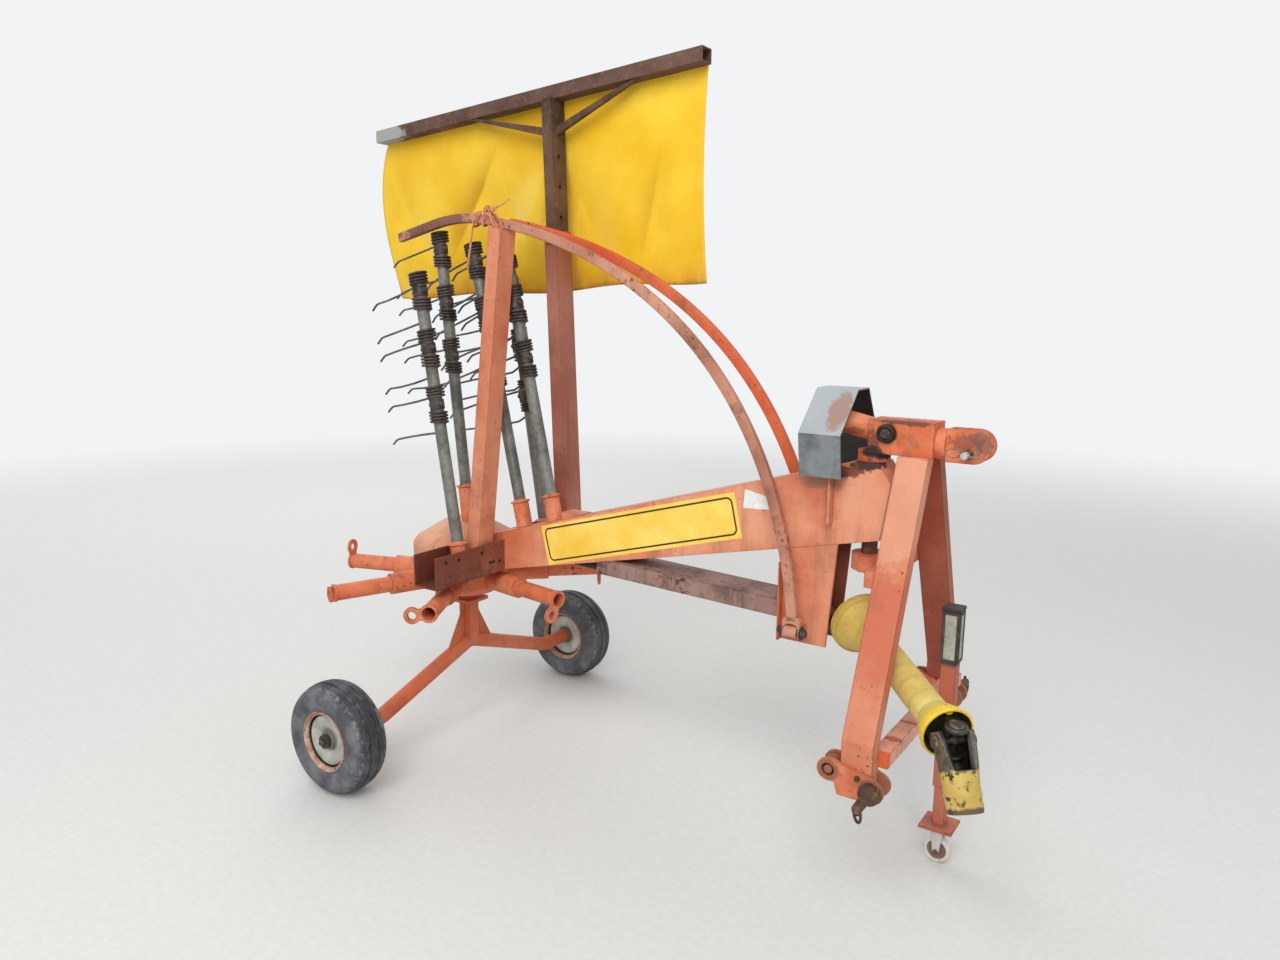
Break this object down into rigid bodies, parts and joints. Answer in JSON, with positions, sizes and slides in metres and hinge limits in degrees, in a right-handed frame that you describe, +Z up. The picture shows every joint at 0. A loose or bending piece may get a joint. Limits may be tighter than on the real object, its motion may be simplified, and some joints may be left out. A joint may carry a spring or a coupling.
{
  "type": "rotary rake",
  "caption": "Single-rotor rotary hay rake for a tractor's three-point linkage, parked on its wheels and jack, with tine arms stored upright, guard hoops and swath curtain folded up.",
  "frame": {"origin": "On the ground, under the middle of the whole machine's box.", "axes": "+X forward to the tractor, +Y to the machine's left across the wheels, +Z up"},
  "size_m": [2.7813, 1.502, 2.5855],
  "materials": {
    "bare_steel": "satin",
    "castor_plastic": "satin",
    "curtain_cloth": "matt",
    "galvanised": "satin",
    "guard_plastic": "matt",
    "orange_paint": "satin",
    "red_brown_paint": "matt",
    "rim_paint": "satin",
    "rusty_steel": "matt",
    "twine": "matt",
    "tyre_rubber": "matt",
    "yellow_paint": "worn"
  },
  "bodies": {
    "frame": {"axle_and_mast": "orange_paint", "gear_dome": "orange_paint", "main_beam": "orange_paint", "cross_channel_right": "orange_paint", "cross_channel_left": "orange_paint", "hoop_post": "orange_paint", "arm_sockets": "rusty_steel", "tine_arm_1": "galvanised", "tine_arm_2": "galvanised", "tine_arm_3": "galvanised", "tine_arm_4": "galvanised", "tine_arm_5": "galvanised", "cheek_plate_right": "orange_paint", "cheek_plate_left": "orange_paint", "hoop_lugs": "rusty_steel", "shaft_trough": "red_brown_paint", "drive_shaft": "bare_steel", "input_bearing": "bare_steel", "input_yoke": "bare_steel", "hood": "galvanised"},
    "rotor": {"rotor_with_arm_tubes": "orange_paint"},
    "wheel_right": {"wheel_rim_right": "rim_paint", "tyre_right": "tyre_rubber"},
    "wheel_left": {"wheel_rim_left": "rim_paint", "tyre_left": "tyre_rubber"},
    "headstock": {"headstock_neck": "orange_paint", "top_link_yoke": "orange_paint", "top_link_pin": "bare_steel", "swivel_pin": "bare_steel", "headstock_leg_right": "orange_paint", "headstock_leg_left": "orange_paint", "hitch_foot_right": "orange_paint", "hitch_foot_left": "orange_paint", "hitch_pin_right": "bare_steel", "hitch_pin_left": "bare_steel", "lower_crossbar": "orange_paint", "mid_crossbar": "orange_paint", "jack_sleeve": "orange_paint"},
    "hoop_right": {"guard_hoop_right": "orange_paint", "twine_tail": "twine"},
    "hoop_left": {"guard_hoop_left": "orange_paint"},
    "curtain_arm": {"curtain_arm_box": "red_brown_paint"},
    "curtain_carrier": {"curtain_arm_tube": "red_brown_paint", "curtain_bar": "rusty_steel", "curtain_stays": "red_brown_paint"},
    "curtain": {"curtain": "curtain_cloth"},
    "jack": {"jack_leg": "orange_paint"},
    "castor": {"castor_fork": "bare_steel"},
    "castor_wheel": {"castor_wheel": "castor_plastic"},
    "shaft_joint": {"shaft_cross_rear": "bare_steel"},
    "shaft": {"shaft_inner_tube": "bare_steel", "shaft_guard_cone": "guard_plastic", "shaft_guard_tube": "guard_plastic", "shaft_guard_collar": "guard_plastic", "shaft_cross_front": "bare_steel"},
    "shaft_end": {"shaft_front_yoke": "yellow_paint"}
  },
  "joints": [
    {"name": "rotor_spin", "type": "hinge", "parent": "frame", "child": "rotor", "pos_m": [-0.8006, 0, 0.665], "axis": [0, 0, 1], "continuous": true},
    {"name": "wheel_right_spin", "type": "hinge", "parent": "frame", "child": "wheel_right", "pos_m": [-0.8006, -0.676, 0.205], "axis": [0, 1, 0], "continuous": true},
    {"name": "wheel_left_spin", "type": "hinge", "parent": "frame", "child": "wheel_left", "pos_m": [-0.8006, 0.676, 0.205], "axis": [0, 1, 0], "continuous": true},
    {"name": "headstock_swivel", "type": "hinge", "parent": "frame", "child": "headstock", "pos_m": [0.9014, 0, 0.958], "axis": [0, 0, 1], "range_deg": [-12, 12]},
    {"name": "hoop_right_fold", "type": "hinge", "parent": "frame", "child": "hoop_right", "pos_m": [0.7114, -0.122, 0.752], "axis": [1, 0, 0], "range_deg": [0, 90]},
    {"name": "curtain_arm_fold", "type": "hinge", "parent": "frame", "child": "curtain_arm", "pos_m": [-0.3676, 0.13, 0.85], "axis": [-1, 0, 0], "range_deg": [0, 90]},
    {"name": "hoop_left_fold", "type": "hinge", "parent": "frame", "child": "hoop_left", "pos_m": [0.7114, 0.122, 0.752], "axis": [-1, 0, 0], "range_deg": [0, 83]},
    {"name": "curtain_arm_extend", "type": "slide", "parent": "curtain_arm", "child": "curtain_carrier", "axis": [-0.042, 0, 0.9991], "range_m": [0, 0.35]},
    {"name": "curtain_hang", "type": "hinge", "parent": "curtain_carrier", "child": "curtain", "pos_m": [-1.3806, 0.1793, 2.43354], "axis": [0.9975, 0, 0.0702], "range_deg": [0, 90]},
    {"name": "jack_slide", "type": "slide", "parent": "headstock", "child": "jack", "axis": [0, 0, 1], "range_m": [0, 0.12]},
    {"name": "castor_swivel", "type": "hinge", "parent": "jack", "child": "castor", "pos_m": [1.1349, 0.122, 0.124], "axis": [0, 0, 1], "continuous": true},
    {"name": "castor_roll", "type": "hinge", "parent": "castor", "child": "castor_wheel", "pos_m": [1.1349, 0.122, 0.043], "axis": [0, 1, 0], "continuous": true},
    {"name": "shaft_yaw", "type": "hinge", "parent": "headstock", "child": "shaft_joint", "pos_m": [0.9014, 0, 0.77], "axis": [0, 0, 1], "range_deg": [0, 46]},
    {"name": "shaft_pitch", "type": "hinge", "parent": "shaft_joint", "child": "shaft", "pos_m": [0.9014, 0, 0.77], "axis": [0.7193, 0.6947, 0], "range_deg": [0, 16]},
    {"name": "shaft_end_bend", "type": "hinge", "parent": "shaft", "child": "shaft_end", "pos_m": [1.29072, -0.40316, 0.66613], "axis": [0.7193, 0.6947, 0], "range_deg": [-80, 0]}
  ],
  "couplings": [
    {"joint": "hoop_left_fold", "follows": "curtain_arm_fold", "ratio": 0.92},
    {"joint": "curtain_hang", "follows": "curtain_arm_fold", "ratio": 1}
  ]
}
